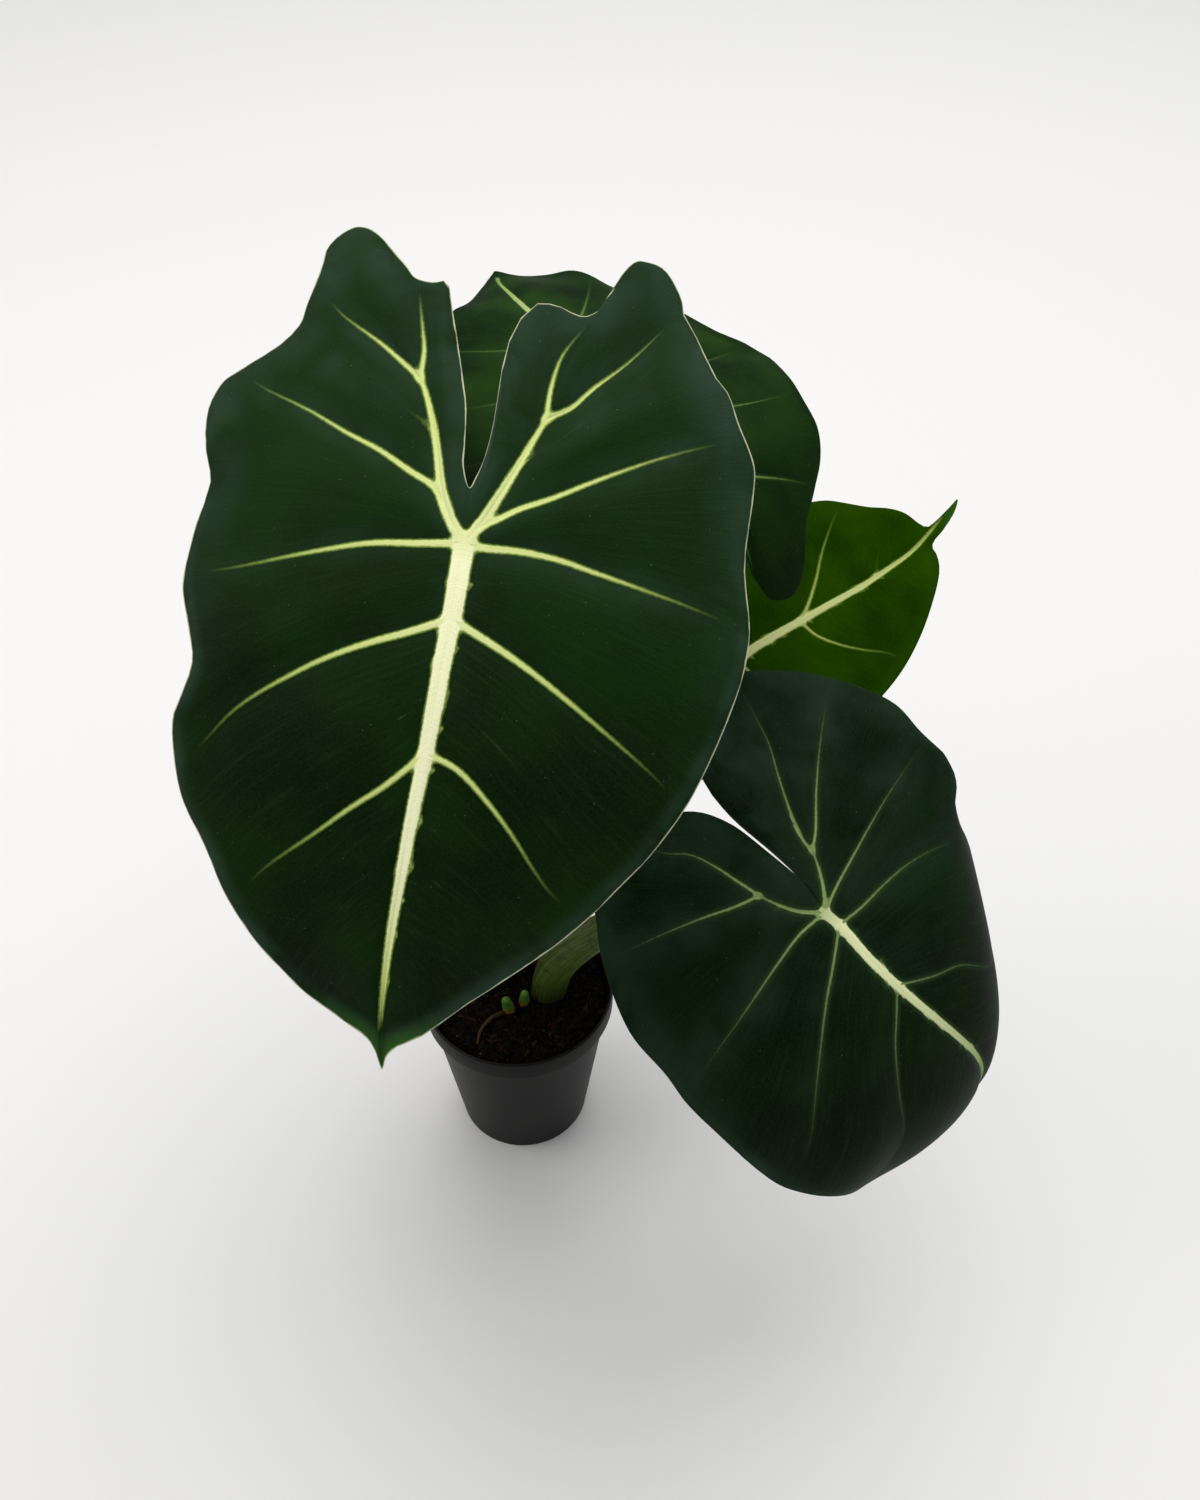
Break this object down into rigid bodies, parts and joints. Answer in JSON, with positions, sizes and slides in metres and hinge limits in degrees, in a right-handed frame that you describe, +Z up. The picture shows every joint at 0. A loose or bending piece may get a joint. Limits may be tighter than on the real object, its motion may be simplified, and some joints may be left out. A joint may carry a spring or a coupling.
{
  "type": "potted frydek alocasia",
  "caption": "House plant in a small round nursery pot, with arrow-shaped velvety dark green blades, pale ribs and veins, on sheathed stalks.",
  "frame": {"origin": "centre of the pot's flat underside", "axes": "+Z up, along the pot's axis; the large front leaf hangs towards -Y and the low leaf towards +X"},
  "size_m": [0.2487, 0.2556, 0.3743],
  "materials": {
    "pot_plastic": "satin",
    "soil": "matte",
    "rhizome": "matte",
    "petiole": "satin",
    "velvet_blade": "matte",
    "young_blade": "satin",
    "sprout": "satin"
  },
  "bodies": {
    "root": {"pot": "pot_plastic", "soil": "soil", "rhizome": "rhizome", "petiole_front": "petiole", "petiole_low": "petiole", "petiole_back": "petiole", "petiole_young": "petiole", "blade_front": "velvet_blade", "blade_low": "velvet_blade", "blade_back": "velvet_blade", "blade_young": "young_blade", "sprout_near": "sprout", "sprout_far": "sprout"}
  },
  "joints": []
}
